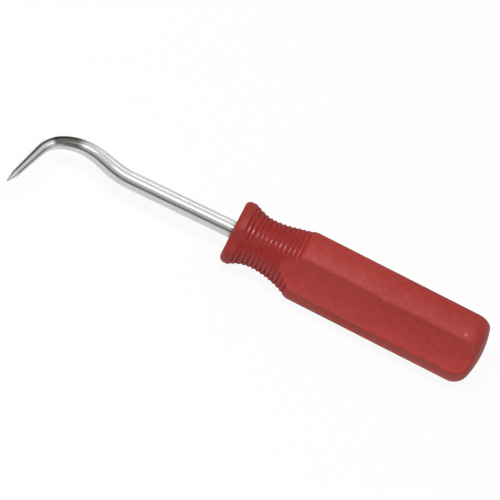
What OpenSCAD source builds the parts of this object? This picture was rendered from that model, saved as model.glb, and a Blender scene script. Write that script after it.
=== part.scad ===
// Gasket installation tool: a bent and pointed steel rod moulded into a plastic handle.
// Millimetres. +X runs from the point to the butt and +Z is up.
// The tool lies on the two edges of its lowest flute, with its hook level.

/* [Handle] */
// Length from the front of the collar to the butt
handle_len = 119.4; // [105:0.1:140]
// Diameter of the body across its round lobes
body_d = 32.7; // [31:0.1:36]
// Diameter of the collar at the front
collar_d = 29.4; // [27:0.1:30.8]
// Rounding of the collar's front edge
collar_edge_r = 2.8; // [1:0.1:3.5]
// Radius of the dome on the butt
butt_dome_r = 41; // [30:1:80]
// Rounding between the butt's dome and the body
butt_edge_r = 7.5; // [3:0.1:9]

/* [Waist] */
// Diameter over the ribs at the narrowest place
waist_d = 23.2; // [21:0.1:24]
// Distance from the front of the collar to the narrowest place
waist_x = 14; // [13:0.1:16]
// Radius of the waist's curve on the collar's side
waist_front_r = 15.6; // [15:0.1:22]
// Radius of the waist's curve on the body's side
waist_back_r = 40; // [35:0.5:50]

/* [Grooves] */
// Number of grooves round the waist
groove_count = 13; // [1:1:13]
// Distance from the front of the collar to the first groove
groove_start = 5.5; // [5:0.1:6.5]
// Distance from one groove to the next
groove_pitch = 2.1; // [1.9:0.01:2.2]
// Radius of each groove's round section
groove_r = 0.8; // [0.6:0.05:0.95]
// Depth of each groove
groove_depth = 0.45; // [0.2:0.05:0.6]

/* [Flutes] */
// Number of hollow flutes along the handle
flute_count = 3; // [2:1:3]
// Distance from the handle's axis to the bottom of a flute
flute_floor = 12.6; // [12:0.1:13.5]
// Radius of a flute's hollow section
flute_r = 22; // [16:0.5:40]
// Rounding of the edges between a flute and the lobes
flute_edge_r = 1; // [0.4:0.1:1.5]

/* [Moulding mark] */
// Diameter of the round mark near the butt
mark_d = 3; // [2:0.1:5]
// Depth of the round mark
mark_depth = 0.15; // [0.05:0.01:0.3]
// Distance from the butt to the middle of the mark
mark_from_butt = 10; // [9:0.1:30]
// Angle of the mark from the top of its lobe
mark_angle = 5; // [0:1:12]

/* [Rod] */
// Diameter of the round rod
rod_d = 7.94; // [6:0.01:9]
// Length of the straight stretch in front of the collar
rod_straight = 48.2; // [30:0.1:80]
// Angle between the rod and the handle's axis
rod_tilt = 1.55; // [0:0.05:3]
// Distance behind the collar's front at which the rod crosses the handle's axis
rod_cross_x = 14; // [0:0.5:30]
// Length of rod inside the handle
tang_len = 70; // [45:1:90]
// Clearance round the rod inside the handle
tang_clearance = 0.02; // [0:0.01:0.1]
// Bevel of the handle's mouth round the rod
mouth_bevel = 0.5; // [0.1:0.1:1.5]

/* [Tang wings] */
// Width across the two wings that stop the rod from turning
wing_span = 12; // [10:0.1:14]
// Thickness of the wings
wing_t = 2.4; // [1.5:0.1:3]
// Length of the wings along the rod
wing_len = 9; // [5:0.5:15]
// Distance from the wings to the end of the tang
wing_from_end = 4; // [2:0.5:10]

/* [Hook] */
// Radius of the first bend, measured on the rod's middle line
kick_r = 30.2; // [20:0.1:45]
// Angle of the first bend
kick_angle = 19.5; // [5:0.5:30]
// Straight length between the first bend and the crown
kick_straight = 6.4; // [2:0.1:15]
// Radius of the crown's wide bend
crown_r = 21.6; // [15:0.1:35]
// Angle of the crown's wide bend
crown_angle = 46.8; // [30:0.1:60]
// Radius of the crown's tight bend
hook_r = 15.9; // [10:0.1:25]
// Angle of the crown's tight bend
hook_angle = 45.8; // [25:0.1:60]
// Straight length of the prong, with its point
prong_len = 24.3; // [15:0.1:40]

/* [Point] */
// Length of the taper, from the full rod to the end of the point
taper_len = 61; // [40:0.5:75]
// Diameter where the ground point begins
point_d = 3.2; // [2:0.1:4]
// Length of the ground point
point_len = 6.1; // [3:0.1:10]
// Radius of the blunt end
tip_r = 0.4; // [0.2:0.05:0.8]

/* [Hidden] */
$fn = 96;
// Lengths that make sure a cut runs right through, or that two joined shapes share some depth
through = 5;
joint = 0.5;
// Sides of the bent stretch and the length between its rings
bend_sides = 24;
ring_step = 1.2;
tip_rings = 4;

body_r = body_d / 2;
collar_r = collar_d / 2;
waist_r = waist_d / 2;
rod_r = rod_d / 2;

// A flute is cut by a long cylinder whose axis is flute_axis_r from the handle's own
flute_axis_r = flute_floor + flute_r;
// Centre of the rounding at a flute's edge: its distance from the axis and its angle from the flute
flute_edge_dist = body_r - flute_edge_r;
flute_edge_reach = flute_r + flute_edge_r;
flute_edge_cos = (pow(flute_edge_dist, 2) + pow(flute_axis_r, 2) - pow(flute_edge_reach, 2))
    / (2 * flute_edge_dist * flute_axis_r);
flute_edge_angle = acos(flute_edge_cos);
// Height of the handle's axis over the surface that the tool lies on
axis_z = flute_edge_dist * flute_edge_cos + flute_edge_r;

// The rounding of the butt touches both the body's side and the dome
butt_dome_x = handle_len - butt_dome_r;
butt_edge_centre_r = body_r - butt_edge_r;
butt_edge_lean = asin(butt_edge_centre_r / (butt_dome_r - butt_edge_r));
butt_edge_x = butt_dome_x + (butt_dome_r - butt_edge_r) * cos(butt_edge_lean);

// The rod's middle line as [length, curvature] stretches, from the collar's front to the point.
// Curvature is one over the radius, above zero where the rod bends towards +Y.
bend_length = PI / 180;
route = [
    [rod_straight, 0],
    [kick_r * kick_angle * bend_length, 1 / kick_r],
    [kick_straight, 0],
    [crown_r * crown_angle * bend_length, -1 / crown_r],
    [hook_r * hook_angle * bend_length, -1 / hook_r],
    [prong_len, 0]
];
route_len = length_before(len(route));
taper_start = route_len - taper_len;
point_start = route_len - point_len;
tip_centre = route_len - tip_r;
// The plain round stretch ends where the rod starts to bend or to taper, and the rings begin inside it
plain_len = min(rod_straight, taper_start);
ring_start = plain_len - joint;

// Where the blunt end lies, which sets the overall length and width
tip_place = in_handle(pose_at(tip_centre));
overall_front = -tip_place[0] + tip_r;
overall_side = -tip_place[1] + tip_r;
// The origin is under the middle of the tool's box, on the surface that it lies on
handle_front_x = (overall_front - handle_len) / 2;
handle_axis_y = (overall_side - body_r) / 2;

// Length of the route before stretch number i
function length_before(i) = i == 0 ? 0 : route[i - 1][0] + length_before(i - 1);

// A pose is [x, y, heading], with a heading of 0 along -X and turning towards +Y
function advance(pose, curvature, dist) =
    curvature == 0
    ? [pose[0] - dist * cos(pose[2]), pose[1] + dist * sin(pose[2]), pose[2]]
    : let (turned = pose[2] + dist * curvature / bend_length)
        [pose[0] - (sin(turned) - sin(pose[2])) / curvature,
         pose[1] - (cos(turned) - cos(pose[2])) / curvature,
         turned];

// The pose at a distance along the route, on the rod's own straight axis
function pose_at(dist, i = 0, pose = [0, 0, 0]) =
    i == len(route) - 1 || dist <= route[i][0]
    ? advance(pose, route[i][1], dist)
    : pose_at(dist - route[i][0], i + 1, advance(pose, route[i][1], route[i][0]));

// Turns a place on the rod's own axis into the handle's frame
function in_handle(p) = [
    rod_cross_x + (p[0] - rod_cross_x) * cos(rod_tilt) - p[1] * sin(rod_tilt),
    (p[0] - rod_cross_x) * sin(rod_tilt) + p[1] * cos(rod_tilt)
];

// Radius of the rod at a distance along the route
function radius_at(dist) =
    dist <= taper_start ? rod_r
    : dist <= point_start ? between(rod_r, point_d / 2, (dist - taper_start) / (point_start - taper_start))
    : dist <= tip_centre ? between(point_d / 2, tip_r, (dist - point_start) / (tip_centre - point_start))
    : sqrt(max(pow(tip_r, 2) - pow(dist - tip_centre, 2), 0));

function between(a, b, share) = a + (b - a) * share;

// Distances of the rings along the bent stretch, closer together on the round tip
ring_count = ceil((tip_centre - ring_start) / ring_step);
ring_dists = concat(
    [for (i = [0 : ring_count]) between(ring_start, tip_centre, i / ring_count)],
    [for (i = [1 : tip_rings - 1]) tip_centre + tip_r * sin(90 * i / tip_rings)]
);

// One ring of points round the rod's middle line
function ring(dist) =
    let (pose = pose_at(dist), r = radius_at(dist))
    [for (k = [0 : bend_sides - 1])
        let (a = 360 * k / bend_sides)
        [pose[0] + r * cos(a) * sin(pose[2]), pose[1] + r * cos(a) * cos(pose[2]), r * sin(a)]];

// Centre of the groove at distance x: on the waist's curve, then out along that curve's radius
function groove_centre(x) =
    let (
        curve_r = x < waist_x ? waist_front_r : waist_back_r,
        lift = groove_r - groove_depth,
        lean = asin((x - waist_x) / curve_r)
    )
    [waist_r + curve_r - (curve_r - lift) * cos(lean), waist_x + (curve_r - lift) * sin(lean)];

// Moves from the rod's own axis to its place in the handle
module on_rod_axis() {
    translate([rod_cross_x, 0, 0])
        rotate([0, 0, rod_tilt])
            translate([-rod_cross_x, 0, 0])
                children();
}

// Moves from the handle's frame, with the collar's front at x = 0, to the part's frame
module in_place() {
    translate([handle_front_x, handle_axis_y, axis_z])
        children();
}

// The rod inside the handle, with a clearance added all round
module tang(clearance) {
    rotate([0, 90, 0])
        cylinder(r = rod_r + clearance, h = tang_len + clearance);
    translate([tang_len - wing_from_end - wing_len - clearance, -wing_span / 2 - clearance, -wing_t / 2 - clearance])
        cube([wing_len + 2 * clearance, wing_span + 2 * clearance, wing_t + 2 * clearance]);
}

// The bevelled mouth that the rod comes out of
module mouth(bore_r) {
    rotate([0, -90, 0]) {
        cylinder(r = bore_r, h = through);
        translate([0, 0, -mouth_bevel])
            cylinder(r1 = bore_r, r2 = bore_r + 2 * mouth_bevel, h = 2 * mouth_bevel);
    }
}

// Half outline of the handle with no flutes: X is the radius and Y runs from the collar to the butt
module handle_outline() {
    intersection() {
        difference() {
            union() {
                collar_outline();
                body_outline();
            }
            waist_outline();
            for (i = [0 : groove_count - 1])
                translate(groove_centre(groove_start + i * groove_pitch))
                    circle(r = groove_r);
        }
        translate([0, -through])
            square([body_r + through, handle_len + 2 * through]);
    }
}

module collar_outline() {
    square([collar_r - collar_edge_r, waist_x]);
    translate([0, collar_edge_r])
        square([collar_r, waist_x - collar_edge_r]);
    translate([collar_r - collar_edge_r, collar_edge_r])
        circle(r = collar_edge_r);
}

module body_outline() {
    translate([0, waist_x])
        square([body_r, butt_edge_x - waist_x]);
    translate([butt_edge_centre_r, butt_edge_x])
        circle(r = butt_edge_r);
    translate([0, butt_dome_x])
        intersection() {
            circle(r = butt_dome_r);
            polygon([
                [0, 0],
                [2 * butt_dome_r * sin(butt_edge_lean), 2 * butt_dome_r * cos(butt_edge_lean)],
                [0, 2 * butt_dome_r]
            ]);
        }
}

// What the waist takes out: a tight curve towards the collar and a wide one towards the body
module waist_outline() {
    intersection() {
        translate([waist_r + waist_front_r, waist_x])
            circle(r = waist_front_r);
        translate([0, waist_x - waist_front_r])
            square([body_r + through, waist_front_r]);
    }
    intersection() {
        translate([waist_r + waist_back_r, waist_x])
            circle(r = waist_back_r);
        translate([0, waist_x])
            square([body_r + through, waist_back_r]);
    }
}

// Section across the handle, with flutes and their rounded edges. The first flute faces down.
module fluted_section() {
    difference() {
        circle(r = body_r);
        for (k = [0 : flute_count - 1])
            rotate(-90 + 360 * k / flute_count) {
                translate([flute_axis_r, 0])
                    circle(r = flute_r);
                flute_corner(1);
                flute_corner(-1);
            }
    }
    for (k = [0 : flute_count - 1], side = [-1, 1])
        rotate(-90 + 360 * k / flute_count + side * flute_edge_angle)
            translate([flute_edge_dist, 0])
                circle(r = flute_edge_r);
}

// The sharp corner beside a flute: a wedge from the rounding's centre out past both of its tangent points
module flute_corner(side) {
    centre = flute_edge_dist * [cos(flute_edge_angle), side * sin(flute_edge_angle)];
    outward = centre / flute_edge_dist;
    to_flute = ([flute_axis_r, 0] - centre) / flute_edge_reach;
    polygon([centre, centre + through * outward, centre + through * to_flute]);
}

module handle() {
    color("firebrick")
        in_place()
            difference() {
                intersection() {
                    rotate([0, 90, 0])
                        rotate_extrude()
                            handle_outline();
                    rotate([90, 0, 90])
                        translate([0, 0, -through])
                            linear_extrude(handle_len + 2 * through)
                                fluted_section();
                }
                on_rod_axis() {
                    tang(tang_clearance);
                    mouth(rod_r + tang_clearance);
                }
                rotate([-mark_angle, 0, 0])
                    translate([handle_len - mark_from_butt, 0, body_r - mark_depth])
                        cylinder(d = mark_d, h = through);
            }
}

// The bent stretch as one closed skin through the rings
module bent_stretch() {
    points = [for (dist = ring_dists) each ring(dist)];
    tip = pose_at(route_len);
    last = len(ring_dists) - 1;
    apex = len(points);
    polyhedron(
        points = concat(points, [[tip[0], tip[1], 0]]),
        faces = concat(
            [[for (k = [bend_sides - 1 : -1 : 0]) k]],
            [for (i = [0 : last - 1], k = [0 : bend_sides - 1])
                let (next = (k + 1) % bend_sides, a = i * bend_sides, b = a + bend_sides)
                each [[a + k, b + next, b + k], [a + k, a + next, b + next]]],
            [for (k = [0 : bend_sides - 1])
                [last * bend_sides + k, last * bend_sides + (k + 1) % bend_sides, apex]]
        )
    );
}

module hook_rod() {
    color("silver")
        in_place()
            on_rod_axis() {
                tang(0);
                rotate([0, -90, 0])
                    cylinder(r = rod_r, h = plain_len);
                bent_stretch();
            }
}

handle();
hook_rod();
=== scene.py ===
import math

import bmesh
import bpy
from mathutils import Matrix, Quaternion, Vector, noise


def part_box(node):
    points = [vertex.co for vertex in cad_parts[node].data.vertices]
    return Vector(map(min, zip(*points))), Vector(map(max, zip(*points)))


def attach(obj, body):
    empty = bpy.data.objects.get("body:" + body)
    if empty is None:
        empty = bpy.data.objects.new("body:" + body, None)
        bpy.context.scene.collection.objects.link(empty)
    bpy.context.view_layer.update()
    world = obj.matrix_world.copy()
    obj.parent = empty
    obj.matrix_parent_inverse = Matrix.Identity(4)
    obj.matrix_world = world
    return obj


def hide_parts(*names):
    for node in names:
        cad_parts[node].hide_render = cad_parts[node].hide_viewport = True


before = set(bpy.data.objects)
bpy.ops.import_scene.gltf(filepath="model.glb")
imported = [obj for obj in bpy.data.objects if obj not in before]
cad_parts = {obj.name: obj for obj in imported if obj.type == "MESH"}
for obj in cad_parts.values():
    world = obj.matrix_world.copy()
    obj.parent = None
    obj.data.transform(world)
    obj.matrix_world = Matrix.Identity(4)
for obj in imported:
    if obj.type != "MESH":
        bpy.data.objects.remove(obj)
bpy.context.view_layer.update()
handleLow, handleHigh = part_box("handle")

# Sizes in the dictionaries are in millimetres and degrees. The scene itself is in metres.
mm = 0.001

# The handle's axis runs along X, and places along it are measured from the front of the collar
bodyRadius = (handleHigh.y - handleLow.y) / 2
frontX = handleLow.x
axisY = (handleLow.y + handleHigh.y) / 2
axisZ = handleHigh.z - bodyRadius
handleLength = handleHigh.x - handleLow.x
# The rod is tilted a little in the handle, and crosses its axis behind the front of the collar
rodTilt = math.radians(1.55)
rodCrossing = 14 * mm
quarterTurn = math.pi / 2


def softMin(a, b, softness):
    # The smaller of two radii, with a soft edge where they cross
    overlap = max(softness - abs(a - b), 0) / softness
    return min(a, b) - overlap * overlap * softness / 4


def shareOfWay(value, start, end):
    # How far a value is on its way from start to end, from 0 to 1
    return min(max((value - start) / (end - start), 0), 1)


def evenly(start, end, steps):
    # Values from start towards end, without the end itself
    return [start + (end - start) * i / steps for i in range(steps)]


def newPiece(name, bm):
    mesh = bpy.data.meshes.new(name)
    for face in bm.faces:
        face.smooth = True
    bm.to_mesh(mesh)
    bm.free()
    piece = bpy.data.objects.new(name, mesh)
    bpy.context.scene.collection.objects.link(piece)
    return piece


def inPlace(name, bm):
    # Brings a piece modelled in millimetres round the handle's axis to its place in the scene
    bmesh.ops.transform(bm, matrix=Matrix.Scale(mm, 4), verts=bm.verts)
    bmesh.ops.translate(bm, vec=(frontX, axisY, axisZ), verts=bm.verts)
    bmesh.ops.recalc_face_normals(bm, faces=bm.faces)
    return newPiece(name, bm)


def growWings(bm, size, wallRadius):
    # Draws two patches of a round wall out into flat wings, or into the pockets round them
    reach, thickness = size["wingReach"], size["wingThickness"]
    outermost = wallRadius * 1.01  # just outside the wall
    for side in (1, -1):
        patch = []
        for face in bm.faces:
            middle = face.calc_center_median()
            along = size["wingStart"] < middle.x < size["wingEnd"]
            if along and abs(middle.z) < thickness / 2 and 0 < middle.y * side < outermost:
                patch.append(face)
        grown = bmesh.ops.extrude_face_region(bm, geom=patch)
        bmesh.ops.delete(bm, geom=patch, context="FACES")
        moved = [item for item in grown["geom"] if isinstance(item, bmesh.types.BMVert)]
        half = max(abs(vert.co.z) for vert in moved)
        for vert in moved:
            vert.co.y = math.copysign(reach, vert.co.y)
            vert.co.z *= thickness / 2 / half


print("Camera")
cameraView = {
    "elevation": 51.0,
    "roll": 26.95,  # how far the handle runs below the horizontal in the picture
    "mmPerPixel": 0.429,
    "distance": 8000.0,
    "pictureSide": 500,  # pixels
    "anchorAlong": 2.66,  # a place on the handle's axis
    "anchorPixel": (238.32, 231.30),  # where the photograph shows that place
    "sensor": 36.0,
    "clipEnd": 30.0,  # metres
}


def makeCamera(size):
    rise, roll = math.radians(size["elevation"]), math.radians(size["roll"])
    back = Vector((0, -math.cos(rise), math.sin(rise)))
    level, levelUp = Vector((1, 0, 0)), Vector((0, back.z, -back.y))
    right = level * math.cos(roll) + levelUp * math.sin(roll)
    up = levelUp * math.cos(roll) - level * math.sin(roll)
    middle = (size["pictureSide"] - 1) / 2
    pixel = size["mmPerPixel"] * mm
    anchor = Vector((frontX + size["anchorAlong"] * mm, axisY, axisZ))
    toRight = (size["anchorPixel"][0] - middle) * pixel
    toUp = (middle - size["anchorPixel"][1]) * pixel
    target = anchor - right * toRight - up * toUp
    data = bpy.data.cameras.new("camera")
    data.sensor_width = size["sensor"]
    data.lens = size["sensor"] * size["distance"] / (size["mmPerPixel"] * size["pictureSide"])
    data.clip_end = size["clipEnd"]
    camera = bpy.data.objects.new("camera", data)
    bpy.context.scene.collection.objects.link(camera)
    turn = Matrix((right, up, back)).transposed()
    place = Matrix.Translation(target + back * size["distance"] * mm)
    camera.matrix_world = place @ turn.to_4x4()
    bpy.context.scene.camera = camera


makeCamera(cameraView)

print("Handle")
handleShape = {
    "collarRadius": 14.7,
    "collarEdge": 2.8,
    "waistRadius": 11.6,
    "waistAt": 14.0,
    "waistFrontArc": 15.6,
    "waistBackArc": 40.0,
    "shoulderSoftness": 0.6,
    "buttEdge": 7.5,
    "buttDome": 41.0,
    "grooves": 13,
    "firstGroove": 5.5,
    "groovePitch": 2.1,
    "grooveDepth": 0.45,
    "grooveNarrowing": 1.25,  # above 1, the round ribs are wider than the grooves
    "pitchUnevenness": 0.12,
    "depthUnevenness": 0.24,  # share of the depth
    "unevenRound": 1.3,  # how fast a groove's place changes round the handle
    "unevenStep": 7.3,  # and from groove to groove
    "unevenDepthScale": 1.7,
    "flutes": 3,
    "fluteFloor": 12.6,
    "fluteArc": 22.0,
    "fluteSoftness": 0.75,  # rounding of the flutes' edges on the body
    "ribSoftness": 0.28,  # and where they cross the ribs
    "collarSoftness": 0.9,  # and on the collar
    "collarEnds": (3.5, 5.2),  # where the plain collar turns into ribs
    "ribsFade": (26.0, 33.0),  # where the ribbed waist turns into the plain body
    "edgeReach": 0.6,  # how far from a flute's edge the plastic is worn
    "ribWear": 0.15,  # share of that wear where the flutes cross the ribs
    "fluteReach": 0.3,  # depth in a flute at which its finish is plain
    "grooveReach": 0.2,  # and at which the grooves' dark colour ends
    "boreRadius": 3.99,
    "boreDepth": 70.02,
    "mouthRounding": 0.5,
    "leanShare": 0.2,  # points up to this share of the wall past the wings belong to the bore
    "leanFade": 1.6,  # how fast the bore's lean fades out on the collar's face
    "wingStart": 56.98,
    "wingEnd": 66.02,
    "wingReach": 6.02,
    "wingThickness": 2.44,
    "swell": 0.04,  # how far the moulding's skin sinks in places
    "swellAlong": 0.1,
    "swellRound": 1.6,
    "markAt": 109.4,
    "markAngle": 85.0,  # round the handle, where the top is at 90
    "markRadius": 1.5,
    "markDepth": 0.15,
    "markWall": 0.35,
    # Rows along the outline, in the order of the outline, and where their spacing changes
    "boreRows": 6,
    "boreRowsEnd": 2.0,
    "mouthRows": 5,
    "faceRows": 9,
    "collarEdgeRows": 14,
    "collarRows": 6,
    "ribRows": 190,
    "ribRowsBefore": 1.2,  # in front of the first groove
    "shoulderRows": 16,
    "shoulderEnd": 36.0,
    "bodyRows": 22,
    "markRows": 20,
    "markRowsBefore": 0.6,
    "buttEdgeRows": 28,
    "buttRows": 12,
    # Columns round the handle: on half a lobe, over a flute's edge and on half a flute
    "columns": (10, 16, 12),
    "fluteEdge": (26, 34),  # from the middle of the lobe
    "markColumns": 24,
    "markReach": 7.0,  # on each side of the mark
    "weld": 0.0005,  # points nearer than this become one
}


def waistRadius(x, size):
    # Radius over the crests of the ribs, and over the plain collar and body at their ends
    front = x < size["waistAt"]
    arc = size["waistFrontArc"] if front else size["waistBackArc"]
    limit = size["collarRadius"] if front else bodyRadius / mm
    away = abs(x - size["waistAt"])
    if away >= arc:
        return limit
    hollow = size["waistRadius"] + arc - math.sqrt(arc * arc - away * away)
    return softMin(hollow, limit, size["shoulderSoftness"])


def grooveCut(x, around, size):
    # Depth of the groove at x, for a place at an angle round the handle
    number = round((x - size["firstGroove"]) / size["groovePitch"])
    if number < 0 or number >= size["grooves"]:
        return 0
    turning = size["unevenRound"]
    place = Vector((
        math.cos(around) * turning, math.sin(around) * turning, number * size["unevenStep"],
    ))
    middle = size["firstGroove"] + number * size["groovePitch"]
    middle += noise.noise(place) * size["pitchUnevenness"]
    deeper = noise.noise(place * size["unevenDepthScale"]) * size["depthUnevenness"]
    depth = size["grooveDepth"] * (1 + deeper)
    turn = min(abs(x - middle) / size["groovePitch"], 0.5) * 2 * math.pi
    return depth * (0.5 + 0.5 * math.cos(turn)) ** size["grooveNarrowing"]


def fluteRadius(around, size):
    # Distance from the axis to the hollow of the nearest flute. The first flute faces down.
    pitch = 2 * math.pi / size["flutes"]
    off = (around + quarterTurn + pitch / 2) % pitch - pitch / 2
    centre = size["fluteFloor"] + size["fluteArc"]
    inside = size["fluteArc"] ** 2 - (centre * math.sin(off)) ** 2
    if inside <= 0:
        return 2 * bodyRadius / mm
    return centre * math.cos(off) - math.sqrt(inside)


def markCut(x, around, size):
    # Depth of the round mark that the mould leaves near the butt
    aside = (around - math.radians(size["markAngle"]) + math.pi) % (2 * math.pi) - math.pi
    away = math.hypot(x - size["markAt"], aside * bodyRadius / mm)
    share = min(max((size["markRadius"] - away) / size["markWall"] + 0.5, 0), 1)
    return size["markDepth"] * share * share * (3 - 2 * share)


def skinSwell(x, r, around, size):
    # How far the moulded skin sinks at a place
    turning = size["swellRound"]
    place = Vector((
        x * size["swellAlong"], math.cos(around) * turning, math.sin(around) * turning,
    ))
    return (0.5 + 0.5 * noise.noise(place)) * size["swell"] * min(r / size["waistRadius"], 1)


def columnAngles(size):
    # Angles round the handle, closest together at the flutes' edges and at the moulding mark
    pitch = 360 / size["flutes"]
    edgeStart, edgeEnd = size["fluteEdge"]
    onLobe, onEdge, inFlute = size["columns"]
    half = evenly(0, edgeStart, onLobe) + evenly(edgeStart, edgeEnd, onEdge)
    half += evenly(edgeEnd, pitch / 2, inFlute)
    period = half + [pitch - a for a in [pitch / 2] + half[:0:-1]]
    turns = [90 + pitch * k + a for k in range(size["flutes"]) for a in period]
    mark, reach = size["markAngle"], size["markReach"]
    plain = [a for a in turns if abs((a - mark + 180) % 360 - 180) > reach]
    fine = [360 + a for a in evenly(mark - reach, mark + reach, size["markColumns"])]
    return [math.radians(a) for a in sorted(plain + fine)]


def handleProfile(size):
    # Half outline from the bottom of the rod's bore to the butt, as (x, radius), or (x, None) where
    # the waist, the grooves and the body give the radius
    bore, mouth = size["boreRadius"], size["mouthRounding"]
    points = [(size["boreDepth"], 0), (size["boreDepth"], bore), (size["wingEnd"], bore)]
    points += [(x, bore) for x in evenly(size["wingStart"], size["boreRowsEnd"], size["boreRows"])]
    points += [
        (mouth - mouth * math.sin(a), bore + mouth - mouth * math.cos(a))
        for a in evenly(0, quarterTurn, size["mouthRows"])
    ]
    edge = size["collarEdge"]
    faceEnd = size["collarRadius"] - edge
    points += [(0, r) for r in evenly(bore + mouth, faceEnd, size["faceRows"])]
    points += [
        (edge - edge * math.cos(a), faceEnd + edge * math.sin(a))
        for a in evenly(0, quarterTurn, size["collarEdgeRows"])
    ]
    buttRound, dome = size["buttEdge"], size["buttDome"]
    domeX = handleLength / mm - dome
    edgeRadius = bodyRadius / mm - buttRound
    lean = math.asin(edgeRadius / (dome - buttRound))
    edgeX = domeX + (dome - buttRound) * math.cos(lean)
    ribsStart = size["firstGroove"] - size["ribRowsBefore"]
    ribsEnd = size["firstGroove"] + size["grooves"] * size["groovePitch"]
    markStart = size["markAt"] - size["markRadius"] - size["markRowsBefore"]
    rows = evenly(edge, ribsStart, size["collarRows"])
    rows += evenly(ribsStart, ribsEnd, size["ribRows"])
    rows += evenly(ribsEnd, size["shoulderEnd"], size["shoulderRows"])
    rows += evenly(size["shoulderEnd"], markStart, size["bodyRows"])
    rows += evenly(markStart, edgeX, size["markRows"])
    points += [(x, None) for x in rows]
    points += [
        (edgeX + buttRound * math.sin(a), edgeRadius + buttRound * math.cos(a))
        for a in evenly(0, quarterTurn - lean, size["buttEdgeRows"])
    ]
    points += [
        (domeX + dome * math.cos(a), dome * math.sin(a))
        for a in evenly(lean, 0, size["buttRows"]) + [0]
    ]
    return points


def makeHandle(size):
    bm = bmesh.new()
    groove, edge, ribbed, deep = [
        bm.verts.layers.float.new(name) for name in ("groove", "edge", "ribbed", "deep")
    ]
    profile = handleProfile(size)
    # The profile is spun with row i at a radius of i + 1, and then each row goes to its real place
    line = [bm.verts.new((x, 0, i + 1.0)) for i, (x, r) in enumerate(profile)]
    edges = [bm.edges.new(pair) for pair in zip(line, line[1:])]
    angles = columnAngles(size)
    bmesh.ops.spin(bm, geom=line + edges, cent=(0, 0, 0), axis=(1, 0, 0), angle=2 * math.pi,
                   steps=len(angles), use_merge=True)
    step = 2 * math.pi / len(angles)
    collarStart, collarEnd = size["collarEnds"]
    mouthEdge = size["boreRadius"] + size["mouthRounding"]
    for vert in bm.verts:
        row = round(math.hypot(vert.co.y, vert.co.z)) - 1
        turned = (math.atan2(vert.co.z, vert.co.y) - quarterTurn) % (2 * math.pi)
        around = angles[round(turned / step) % len(angles)]
        x, r = profile[row]
        inBore = r is not None and r < mouthEdge and x <= size["boreDepth"]
        if r is None:
            cut = grooveCut(x, around, size)
            r = waistRadius(x, size) - cut
            vert[groove] = cut / size["grooveDepth"]
        if not inBore:
            hollow = fluteRadius(around, size)
            plainShare = shareOfWay(x, *size["ribsFade"])
            collarShare = shareOfWay(x, collarEnd, collarStart)
            softness = size["ribSoftness"]
            softness += (size["fluteSoftness"] - softness) * plainShare
            softness += (size["collarSoftness"] - softness) * collarShare
            inFlute = shareOfWay(r - hollow, 0, size["fluteReach"]) * (x > size["waistAt"])
            vert[deep] = (1 - plainShare) * (1 - inFlute)
            vert[ribbed] = vert[deep] * (1 - collarShare)
            nearEdge = max(1 - abs(r - hollow) / size["edgeReach"], 0)
            vert[edge] = nearEdge * (size["ribWear"] + (1 - size["ribWear"]) * plainShare)
            vert[groove] *= max(1 - max(r - hollow, 0) / size["grooveReach"], 0)
            r = softMin(r, hollow, softness) - markCut(x, around, size)
            if x > 0:
                r -= skinSwell(x, r, around, size)
        vert.co = (x, r * math.cos(around), r * math.sin(around))
    bmesh.ops.remove_doubles(bm, verts=bm.verts, dist=size["weld"])
    growWings(bm, size, size["boreRadius"])
    # The bore and its pocket lean with the rod, and the collar's face takes up the lean
    for vert in bm.verts:
        x, y, z = vert.co
        out = (math.hypot(y, z) - size["wingReach"]) / (size["collarRadius"] - size["wingReach"])
        if x <= size["mouthRounding"] or x <= size["boreDepth"] and out <= size["leanShare"]:
            leaning = min(max(1 - out * size["leanFade"], 0), 1)
            vert.co.y += leaning * (x - rodCrossing / mm) * math.tan(rodTilt)
    return inPlace("fluted_handle", bm)


handlePiece = makeHandle(handleShape)

print("Rod")
rodShape = {
    "radius": 3.97,
    "sides": 96,
    "tang": 70.0,
    "wingStart": 57.0,
    "wingEnd": 66.0,
    "wingReach": 6.0,
    "wingThickness": 2.4,
    # Lengths, or bends as a radius and an angle, from the front of the collar to the point
    "route": [(48.2,), (30.2, 19.5), (6.4,), (21.6, -46.8), (15.9, -45.8), (24.3,)],
    "taper": 61.0,
    "pointRadius": 1.6,
    "pointLength": 6.1,
    "tipRadius": 0.4,
    "tangRings": (2, 3, 14),  # behind the wings, along them and in front of them
    "straightRings": 24,
    "bentRings": 130,
    "tipRings": 6,
}


def routeLength(size):
    lengths = [
        part[0] * math.radians(abs(part[1])) if len(part) == 2 else part[0]
        for part in size["route"]
    ]
    return sum(lengths)


def rodPose(along, size):
    # Middle and heading of the rod at a distance in front of the collar, on its own straight axis
    if along <= 0:
        return Vector((-along, 0, 0)), 0.0
    middle, heading = Vector((0, 0, 0)), 0.0
    for part in size["route"]:
        if len(part) == 2:
            arc, angle = part
            travel = min(along, arc * math.radians(abs(angle)))
            side = math.copysign(1, angle)
            turned = heading + side * travel / arc
            across = Vector((
                math.sin(heading) - math.sin(turned), math.cos(heading) - math.cos(turned), 0,
            ))
            middle += across * side * arc
            heading = turned
        else:
            travel = min(along, part[0])
            middle += Vector((-math.cos(heading), math.sin(heading), 0)) * travel
        along -= travel
        if along <= 0:
            break
    return middle, heading


def rodRadius(along, size):
    # The taper runs from the full rod to the ground point, and the point to the rounded tip
    total = routeLength(size)
    taperStart, pointStart, tipStart = (
        total - size[name] for name in ("taper", "pointLength", "tipRadius")
    )
    if along <= taperStart:
        return size["radius"]
    if along <= pointStart:
        share = (along - taperStart) / (pointStart - taperStart)
        return size["radius"] + (size["pointRadius"] - size["radius"]) * share
    if along <= tipStart:
        share = (along - pointStart) / (tipStart - pointStart)
        return size["pointRadius"] + (size["tipRadius"] - size["pointRadius"]) * share
    return math.sqrt(max(size["tipRadius"] ** 2 - (along - tipStart) ** 2, 0))


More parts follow.
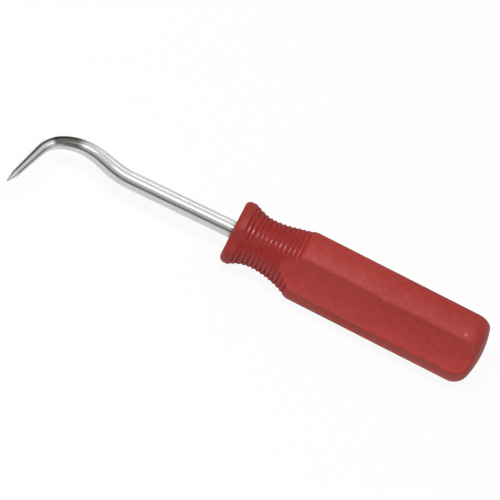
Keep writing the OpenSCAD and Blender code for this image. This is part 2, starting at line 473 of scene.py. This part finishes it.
def rodStations(size):
    # Distances in front of the collar at which the rod has a ring, behind it first
    tipStart = routeLength(size) - size["tipRadius"]
    bendStart = size["route"][0][0]
    behind, wings, front = size["tangRings"]
    stations = evenly(-size["tang"], -size["wingEnd"], behind)[1:]
    stations += evenly(-size["wingEnd"], -size["wingStart"], wings)
    stations += evenly(-size["wingStart"], 0, front)
    stations += evenly(0, bendStart, size["straightRings"])
    stations += evenly(bendStart, tipStart, size["bentRings"])
    tipAngles = evenly(0, quarterTurn, size["tipRings"])
    return stations + [tipStart + size["tipRadius"] * math.sin(a) for a in tipAngles]


def makeRod(size):
    bm = bmesh.new()
    # This layer keeps where each point is on the straightened rod
    straightPlace = bm.verts.layers.float_vector.new("straightPlace")
    tang, total = size["tang"], routeLength(size)
    ring = bmesh.ops.create_circle(bm, cap_ends=True, radius=size["radius"], segments=size["sides"],
                                   matrix=Matrix.Rotation(quarterTurn, 4, "Y"))
    for vert in ring["verts"]:
        vert[straightPlace] = Vector((-tang, vert.co.y, vert.co.z)) * mm
        vert.co.x = tang
    ringEdges = bm.edges[:]
    for along in rodStations(size):
        grown = bmesh.ops.extrude_edge_only(bm, edges=ringEdges)["geom"]
        newVerts = {item for item in grown if isinstance(item, bmesh.types.BMVert)}
        ringEdges = [
            item for item in grown
            if isinstance(item, bmesh.types.BMEdge) and newVerts.issuperset(item.verts)
        ]
        middle, heading = rodPose(along, size)
        radius = rodRadius(along, size)
        side = Vector((math.sin(heading), math.cos(heading), 0))
        for vert in newVerts:
            angle = math.atan2(vert[straightPlace].z, vert[straightPlace].y)
            across, up = radius * math.cos(angle), radius * math.sin(angle)
            vert.co = middle + side * across + Vector((0, 0, up))
            vert[straightPlace] = Vector((along, across, up)) * mm
    cap = bmesh.ops.contextual_create(bm, geom=ringEdges)["faces"]
    for vert in bmesh.ops.poke(bm, faces=cap)["verts"]:
        vert.co = rodPose(total, size)[0]
        vert[straightPlace] = Vector((total, 0, 0)) * mm
    growWings(bm, size, size["radius"])
    bmesh.ops.rotate(bm, cent=(rodCrossing / mm, 0, 0), matrix=Matrix.Rotation(rodTilt, 3, "Z"),
                     verts=bm.verts)
    return inPlace("hooked_rod", bm)


rodPiece = makeRod(rodShape)

print("Materials")
nodeSpacing = 190  # in the node editor


def setInput(tree, socket, value):
    # A value is a number, a colour or the socket that the input is linked to
    if isinstance(value, bpy.types.NodeSocket):
        tree.links.new(value, socket)
    else:
        socket.default_value = value


def addNode(tree, kind, inputs=None, **settings):
    node = tree.nodes.new(kind)
    node.location = (nodeSpacing * len(tree.nodes), 0)
    for name, value in settings.items():
        setattr(node, name, value)
    for name, value in (inputs or {}).items():
        setInput(tree, node.inputs[name], value)
    return node


def maths(tree, operation, a, b, clamp=False):
    node = addNode(tree, "ShaderNodeMath", {0: a, 1: b}, operation=operation, use_clamp=clamp)
    return node.outputs[0]


def times(tree, a, b):
    return maths(tree, "MULTIPLY", a, b)


def plus(tree, a, b):
    return maths(tree, "ADD", a, b)


def blend(tree, share, a, b):
    # Two colours mixed, each a socket or three numbers
    mixed = addNode(tree, "ShaderNodeMix", {"Factor": share}, data_type="RGBA")
    for name, value in (("A_Color", a), ("B_Color", b)):
        socket = next(s for s in mixed.inputs if s.identifier == name)
        setInput(tree, socket, value if isinstance(value, bpy.types.NodeSocket) else (*value, 1))
    return next(s for s in mixed.outputs if s.identifier == "Result_Color")


def ranged(tree, value, fromRange, toRange=(0.0, 1.0)):
    # A value carried softly from one range to another
    node = addNode(tree, "ShaderNodeMapRange", {
        "Value": value, "From Min": fromRange[0], "From Max": fromRange[1],
        "To Min": toRange[0], "To Max": toRange[1],
    }, interpolation_type="SMOOTHSTEP")
    return node.outputs["Result"]


def readLayer(tree, name, output="Fac"):
    return addNode(tree, "ShaderNodeAttribute", attribute_name=name).outputs[output]


def makeGroup(name, numbers, output):
    tree = bpy.data.node_groups.new(name, "ShaderNodeTree")
    tree.interface.new_socket("Vector", in_out="INPUT", socket_type="NodeSocketVector")
    for number in numbers:
        tree.interface.new_socket(number, in_out="INPUT", socket_type="NodeSocketFloat")
    tree.interface.new_socket(output, in_out="OUTPUT", socket_type="NodeSocketFloat")
    return tree, addNode(tree, "NodeGroupInput").outputs


patternLook = {
    "patchRoughness": 0.55,
    "patchRange": (0.34, 0.66),  # part of the noise that is drawn out to 0 and 1
    "lineDetail": 2.0,
    "linePeak": 0.8,
}


def patchGroup(look):
    # Soft patches, from 0 to 1
    tree, given = makeGroup("soft_patches", ("Scale", "Detail"), "Patches")
    cloud = addNode(tree, "ShaderNodeTexNoise", {
        "Vector": given["Vector"], "Scale": given["Scale"], "Detail": given["Detail"],
        "Roughness": look["patchRoughness"],
    })
    patches = ranged(tree, cloud.outputs[0], look["patchRange"])
    addNode(tree, "NodeGroupOutput", {"Patches": patches})
    return tree


def lineGroup(look):
    # Fine lines that run along X, from 0 to 1
    tree, given = makeGroup("fine_lines", ("Across", "Along", "Rarity"), "Lines")
    scale = addNode(tree, "ShaderNodeCombineXYZ", {
        0: given["Along"], 1: given["Across"], 2: given["Across"],
    })
    drawn = addNode(tree, "ShaderNodeVectorMath", {
        0: given["Vector"], 1: scale.outputs[0],
    }, operation="MULTIPLY")
    streak = addNode(tree, "ShaderNodeTexNoise", {
        "Vector": drawn.outputs[0], "Scale": 1.0, "Detail": look["lineDetail"],
    })
    line = addNode(tree, "ShaderNodeMapRange", {
        "Value": streak.outputs[0], "From Min": given["Rarity"], "From Max": look["linePeak"],
    })
    addNode(tree, "NodeGroupOutput", {"Lines": line.outputs["Result"]})
    return tree


softPatches = patchGroup(patternLook)
fineLines = lineGroup(patternLook)


def useGroup(tree, group, place, values):
    return addNode(tree, "ShaderNodeGroup", {"Vector": place, **values}, node_tree=group).outputs[0]


def newMaterial(name):
    # A material and its node tree, which still has the shader that Blender starts with
    material = bpy.data.materials.new(name)
    material.use_nodes = True
    return material, material.node_tree


def onHandle(x, around):
    # A place on the body's skin
    turn = math.radians(around)
    return Vector((
        frontX + x * mm, axisY + bodyRadius * math.cos(turn), axisZ + bodyRadius * math.sin(turn),
    ))


# Scales of patterns, here and in the steel, are in features to a metre
plasticLook = {
    "red": (0.375, 0.025, 0.018),
    "deepRed": (0.30, 0.018, 0.014),
    "grooveShadeRed": (0.30, 0.010, 0.008),
    "wornRed": (0.50, 0.075, 0.062),
    "paleScar": (0.82, 0.18, 0.175),
    "mottle": {"Scale": 55.0, "Detail": 2.0},
    "mottleShare": 0.4,
    "fleck": {"Scale": 900.0, "Detail": 2.0},
    "fleckShare": 0.3,
    "haze": {"Scale": 620.0, "Detail": 3.0},
    "hazeShare": 0.18,
    "scratches": {"Across": 2200.0, "Along": 90.0, "Rarity": 0.66},
    "scratchShare": 0.1,
    "scratchDepth": 0.4,  # against the grain's height
    "neckShade": 1.0,  # how much deeper the colour is at the ribs and the collar
    "grooveShade": 0.85,
    "grooveShadeRange": (0.1, 0.8),  # of the groove's depth
    "edgeWear": (0.12, 0.4),  # least and most, after the mottling
    "bodyRoughness": 0.6,
    "ribRoughness": 0.165,
    "grooveRoughness": 0.5,  # added in the grooves
    "grooveRoughRange": (0.3, 0.9),
    "grazingRoughness": 0.5,  # added on the ribs at grazing angles
    "grazingRange": (0.25, 0.7),
    "patchyRoughness": 0.07,
    "scratchRoughness": 0.12,
    "grain": {"Scale": 2600.0, "Detail": 2.0},
    "grainHeight": 0.000012,  # metres
    "scars": [  # x and angle on the handle, radius and strength
        (72.0, 121.5, 2.6, 0.4),
        (109.4, 111.4, 1.15, 1.0),
        (47.0, 101.0, 0.25, 0.8),
    ],
    "ior": 1.49,
    "specular": 0.38,
}


def plasticMaterial(look):
    material, tree = newMaterial("moulded_plastic")
    shader = tree.nodes["Principled BSDF"]
    place = addNode(tree, "ShaderNodeTexCoord").outputs["Object"]
    groove, edge, ribbed, deep = [
        readLayer(tree, name) for name in ("groove", "edge", "ribbed", "deep")
    ]
    mottle, fleck, haze = [
        useGroup(tree, softPatches, place, look[name]) for name in ("mottle", "fleck", "haze")
    ]
    scratches = useGroup(tree, fineLines, place, look["scratches"])

    colour = blend(tree, times(tree, mottle, look["mottleShare"]), look["red"], look["deepRed"])
    colour = blend(tree, times(tree, fleck, look["fleckShare"]), colour, look["deepRed"])
    colour = blend(tree, times(tree, haze, look["hazeShare"]), colour, look["wornRed"])
    colour = blend(tree, times(tree, deep, look["neckShade"]), colour, look["deepRed"])
    # Painted shade in the grooves, darker the deeper the groove
    shade = ranged(tree, groove, look["grooveShadeRange"], (0.0, look["grooveShade"]))
    colour = blend(tree, shade, colour, look["grooveShadeRed"])
    wear = times(tree, edge, ranged(tree, mottle, (0.0, 1.0), look["edgeWear"]))
    colour = blend(tree, wear, colour, look["wornRed"])
    colour = blend(tree, times(tree, scratches, look["scratchShare"]), colour, look["wornRed"])
    for x, around, radius, strength in look["scars"]:
        away = addNode(tree, "ShaderNodeVectorMath", {
            0: place, 1: onHandle(x, around),
        }, operation="DISTANCE").outputs["Value"]
        ragged = plus(tree, away, times(tree, fleck, radius * mm / 2))
        scar = ranged(tree, ragged, (0.0, radius * mm), (strength, 0.0))
        colour = blend(tree, scar, colour, look["paleScar"])
    setInput(tree, shader.inputs["Base Color"], colour)

    facing = addNode(tree, "ShaderNodeLayerWeight", {"Blend": 0.5}).outputs["Facing"]
    grazing = ranged(tree, facing, look["grazingRange"], (0.0, look["grazingRoughness"]))
    roughness = ranged(tree, ribbed, (0.0, 1.0), (look["bodyRoughness"], look["ribRoughness"]))
    for part in (
        ranged(tree, groove, look["grooveRoughRange"], (0.0, look["grooveRoughness"])),
        times(tree, ribbed, grazing),
        times(tree, mottle, look["patchyRoughness"]),
        times(tree, scratches, look["scratchRoughness"]),
    ):
        roughness = plus(tree, roughness, part)
    setInput(tree, shader.inputs["Roughness"], roughness)

    grain = addNode(tree, "ShaderNodeTexNoise", {"Vector": place, **look["grain"]}).outputs[0]
    height = maths(tree, "SUBTRACT", grain, times(tree, scratches, look["scratchDepth"]))
    bump = addNode(tree, "ShaderNodeBump", {
        "Height": height, "Distance": look["grainHeight"], "Strength": 1.0,
    })
    setInput(tree, shader.inputs["Normal"], bump.outputs["Normal"])
    shader.inputs["IOR"].default_value = look["ior"]
    shader.inputs["Specular IOR Level"].default_value = look["specular"]
    return material


steelLook = {
    "bright": (0.62, 0.617, 0.605),
    "dull": (0.52, 0.515, 0.50),
    "stain": (0.36, 0.34, 0.31),
    "lines": {"Across": 5200.0, "Along": 60.0, "Rarity": 0.45},
    "lineShare": 0.35,
    "grinding": {"Across": 9000.0, "Along": 700.0, "Rarity": 0.4},
    "grindingLeast": 0.5,
    "grindingHeight": 2.5,  # against the lines' height
    "grindingBlur": 0.4,  # on each side of where the ground point begins
    "smudge": {"Scale": 160.0, "Detail": 3.0},
    "smudgeShare": 0.16,
    "speck": {"Across": 1500.0, "Along": 1100.0, "Rarity": 0.7},
    "speckShare": 0.5,
    "grimeRange": (0.2, 1.6),  # in front of the collar
    "grimeShare": 0.5,
    # A dark reflection is painted on the top of the crown of the bend
    "paintedDarkReflection": (0.13, 0.127, 0.12),  # the darker top of the crown
    "paintedDarkReflectionFrom": (73.0, 78.5),  # where it fades in along the rod
    "paintedDarkReflectionTo": (87.0, 89.5),  # and out again
    "paintedDarkReflectionUp": (1.4, 2.4),  # where it fades in over the rod's middle
    "roughness": 0.165,
    "lineRoughness": 0.07,
    "smudgeRoughness": 0.07,
    "pointRoughness": 0.14,
    "lineHeight": 0.0000012,  # metres
}


def inMetres(lengths):
    return [length * mm for length in lengths]


def steelMaterial(look):
    material, tree = newMaterial("polished_steel")
    shader = tree.nodes["Principled BSDF"]
    place = readLayer(tree, "straightPlace", "Vector")
    along, _, up = addNode(tree, "ShaderNodeSeparateXYZ", {0: place}).outputs
    pointStart, blur = routeLength(rodShape) - rodShape["pointLength"], look["grindingBlur"]
    ground = ranged(tree, along, inMetres((pointStart - blur, pointStart + blur)))
    grime = ranged(tree, along, inMetres(look["grimeRange"]), (1.0, 0.0))
    lines = useGroup(tree, fineLines, place, look["lines"])
    # The grinding marks run round the point, so their pattern is turned
    turned = addNode(tree, "ShaderNodeVectorRotate", {
        "Vector": place, "Angle": quarterTurn,
    }, rotation_type="Z_AXIS").outputs[0]
    grinding = useGroup(tree, fineLines, turned, look["grinding"])
    smudge = useGroup(tree, softPatches, place, look["smudge"])
    speck = useGroup(tree, fineLines, place, look["speck"])

    colour = blend(tree, times(tree, lines, look["lineShare"]), look["bright"], look["dull"])
    colour = blend(tree, times(tree, smudge, look["smudgeShare"]), colour, look["dull"])
    colour = blend(tree, times(tree, speck, look["speckShare"]), colour, look["stain"])
    # Painted dark reflection: the top half of the crown is darkened in the colour
    drifting = plus(tree, along, times(tree, smudge, mm))
    paintedDarkReflection = ranged(tree, up, inMetres(look["paintedDarkReflectionUp"]))
    paintedDarkReflection = times(tree, paintedDarkReflection, ranged(tree, drifting, inMetres(look["paintedDarkReflectionFrom"])))
    fading = ranged(tree, drifting, inMetres(look["paintedDarkReflectionTo"]), (1.0, 0.0))
    colour = blend(tree, times(tree, paintedDarkReflection, fading), colour, look["paintedDarkReflection"])
    colour = blend(tree, times(tree, grime, look["grimeShare"]), colour, look["stain"])
    setInput(tree, shader.inputs["Base Color"], colour)

    groundGrain = times(tree, ground, plus(tree, grinding, look["grindingLeast"]))
    roughness = plus(tree, look["roughness"], times(tree, lines, look["lineRoughness"]))
    roughness = plus(tree, roughness, times(tree, smudge, look["smudgeRoughness"]))
    roughness = plus(tree, roughness, times(tree, groundGrain, look["pointRoughness"]))
    setInput(tree, shader.inputs["Roughness"], roughness)

    height = plus(tree, lines, times(tree, groundGrain, look["grindingHeight"]))
    bump = addNode(tree, "ShaderNodeBump", {
        "Height": height, "Distance": look["lineHeight"], "Strength": 1.0,
    })
    setInput(tree, shader.inputs["Normal"], bump.outputs["Normal"])
    shader.inputs["Metallic"].default_value = 1
    return material


handlePiece.data.materials.append(plasticMaterial(plasticLook))
rodPiece.data.materials.append(steelMaterial(steelLook))
for piece, node, slot in (
    (handlePiece, "handle", "handle_plastic"),
    (rodPiece, "hook_rod", "rod_steel"),
):
    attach(piece, "root")
    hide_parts(node)

print("Studio")
# The studio's lengths are in metres
studio = {
    "middle": (-0.04, 0, 0.014),  # where the lamps point
    "floorSide": 6.0,
    "floorColour": 0.9,
    "floorWhite": 0.93,  # share of the background's white, and the rest shows the shadow
    "ambient": 0.31,
    "cardDistance": 1.6,
    "cardSteps": (10, 40),  # upwards and round
}
# Lamps and cards are placed by their direction from the tool: azimuth from the far side towards
# the butt, and elevation. A turn about the lamp's own beam keeps its long side along the tool.
lamps = {
    "handle_light": {
        "azimuth": 222, "elevation": 74.4, "turn": 42, "distance": 1.3, "size": (0.9, 0.25),
        "watts": 13.5, "lights": ("fluted_handle", "floor"),
    },
    # The bright rod has weaker lamps of its own, which draw two soft lines along it and a glint on
    # the crown
    "rod_light": {
        "azimuth": 180, "elevation": 78, "turn": 0, "distance": 1.3, "size": (0.7, 0.36),
        "watts": 1.55, "lights": ("hooked_rod",),
    },
    "rod_far_light": {
        "azimuth": 0, "elevation": 45, "turn": 0, "distance": 1.4, "size": (0.26, 0.28),
        "watts": 0.45, "lights": ("hooked_rod",),
    },
    "crown_light": {
        "azimuth": 66, "elevation": 58, "turn": 0, "distance": 1.3, "size": (0.34, 0.18),
        "watts": 0.4, "lights": ("hooked_rod",),
    },
}
# A card's glow rises from its lower to its upper edge
cards = {
    "near_card": {"azimuth": (134, 296), "elevation": (1.5, 58), "glow": (0.05, 0.75)},
    "pale_card": {"azimuth": (84, 134), "elevation": (1.5, 58), "glow": (0.6, 0.9)},
    "right_card": {"azimuth": (10, 84), "elevation": (1.5, 58), "glow": (0.05, 0.7)},
    "left_card": {"azimuth": (-64, -7), "elevation": (0, 36), "glow": (0.05, 0.15)},
    "left_high_card": {"azimuth": (-64, -7), "elevation": (36, 54), "glow": (0.15, 0.5)},
}
toolMiddle = Vector(studio["middle"])


def whiteToRays(tree, share):
    # Camera, mirror and see-through rays meet the background's white
    rays = addNode(tree, "ShaderNodeLightPath").outputs
    seen = maths(tree, "ADD", rays["Is Camera Ray"], rays["Is Glossy Ray"], clamp=True)
    seen = maths(tree, "ADD", seen, rays["Is Transmission Ray"], clamp=True)
    return times(tree, seen, share)


def stageTree(holder):
    holder.use_nodes = True
    holder.node_tree.nodes.clear()
    return holder.node_tree


def mixToWhite(tree, share, plain, white):
    return addNode(tree, "ShaderNodeMixShader", {
        0: whiteToRays(tree, share), 1: plain.outputs[0], 2: white.outputs[0],
    }).outputs[0]


def makeFloor(size):
    bm = bmesh.new()
    bmesh.ops.create_grid(bm, x_segments=1, y_segments=1, size=size["floorSide"] / 2)
    floor = newPiece("floor", bm)
    material = bpy.data.materials.new("white_table")
    tree = stageTree(material)
    paper = addNode(tree, "ShaderNodeBsdfDiffuse", {"Color": (*[size["floorColour"]] * 3, 1)})
    white = addNode(tree, "ShaderNodeEmission")
    surface = mixToWhite(tree, size["floorWhite"], paper, white)
    addNode(tree, "ShaderNodeOutputMaterial", {"Surface": surface})
    floor.data.materials.append(material)


def makeWorld(size):
    world = bpy.data.worlds.new("studio")
    bpy.context.scene.world = world
    tree = stageTree(world)
    room, white = [
        addNode(tree, "ShaderNodeBackground", {"Color": (1, 1, 1, 1), "Strength": strength})
        for strength in (size["ambient"], 1.0)
    ]
    surface = mixToWhite(tree, 1.0, room, white)
    addNode(tree, "ShaderNodeOutputWorld", {"Surface": surface})


def direction(azimuth, elevation):
    turn, rise = math.radians(azimuth), math.radians(elevation)
    return Vector((
        math.sin(turn) * math.cos(rise), math.cos(turn) * math.cos(rise), math.sin(rise),
    ))


def makeLamp(name, lamp):
    data = bpy.data.lights.new(name, "AREA")
    data.shape = "RECTANGLE"
    data.size, data.size_y = lamp["size"]
    data.energy = lamp["watts"]
    away = direction(lamp["azimuth"], lamp["elevation"])
    holder = bpy.data.objects.new(name, data)
    bpy.context.scene.collection.objects.link(holder)
    holder.location = toolMiddle + away * lamp["distance"]
    turn = Quaternion((0, 0, 1), math.radians(lamp["turn"]))
    holder.rotation_euler = ((-away).to_track_quat("-Z", "Y") @ turn).to_euler()
    receivers = bpy.data.collections.new(name)
    for lit in lamp["lights"]:
        receivers.objects.link(bpy.data.objects[lit])
    holder.light_linking.receiver_collection = receivers


def makeCard(name, card, size):
    # A grey card, bent round the tool as a patch of a sphere and seen only in reflections
    low, high = [math.radians(rise) for rise in card["elevation"]]
    start, end = card["azimuth"]
    distance = size["cardDistance"]
    stepsUp, stepsRound = size["cardSteps"]
    bm = bmesh.new()
    corner = bm.verts.new(direction(start, card["elevation"][0]) * distance)
    across = direction(start, 0).cross(Vector((0, 0, 1)))
    bmesh.ops.spin(bm, geom=[corner], cent=(0, 0, 0), axis=across, angle=high - low, steps=stepsUp)
    bmesh.ops.spin(bm, geom=bm.verts[:] + bm.edges[:], cent=(0, 0, 0), axis=(0, 0, -1),
                   angle=math.radians(end - start), steps=stepsRound)
    bmesh.ops.translate(bm, vec=(toolMiddle.x, toolMiddle.y, 0), verts=bm.verts)
    piece = newPiece(name, bm)
    material = bpy.data.materials.new(name)
    tree = stageTree(material)
    place = addNode(tree, "ShaderNodeTexCoord").outputs["Object"]
    height = addNode(tree, "ShaderNodeSeparateXYZ", {0: place}).outputs["Z"]
    edges = (distance * math.sin(low), distance * math.sin(high))
    grey = ranged(tree, height, edges, card["glow"])
    glow = addNode(tree, "ShaderNodeEmission", {"Strength": grey})
    addNode(tree, "ShaderNodeOutputMaterial", {"Surface": glow.outputs[0]})
    piece.data.materials.append(material)
    piece.visible_camera = False
    piece.visible_diffuse = False
    piece.visible_shadow = False


makeFloor(studio)
makeWorld(studio)
for name, lamp in lamps.items():
    makeLamp(name, lamp)
for name, card in cards.items():
    makeCard(name, card, studio)
bpy.context.scene.view_settings.view_transform = "Standard"
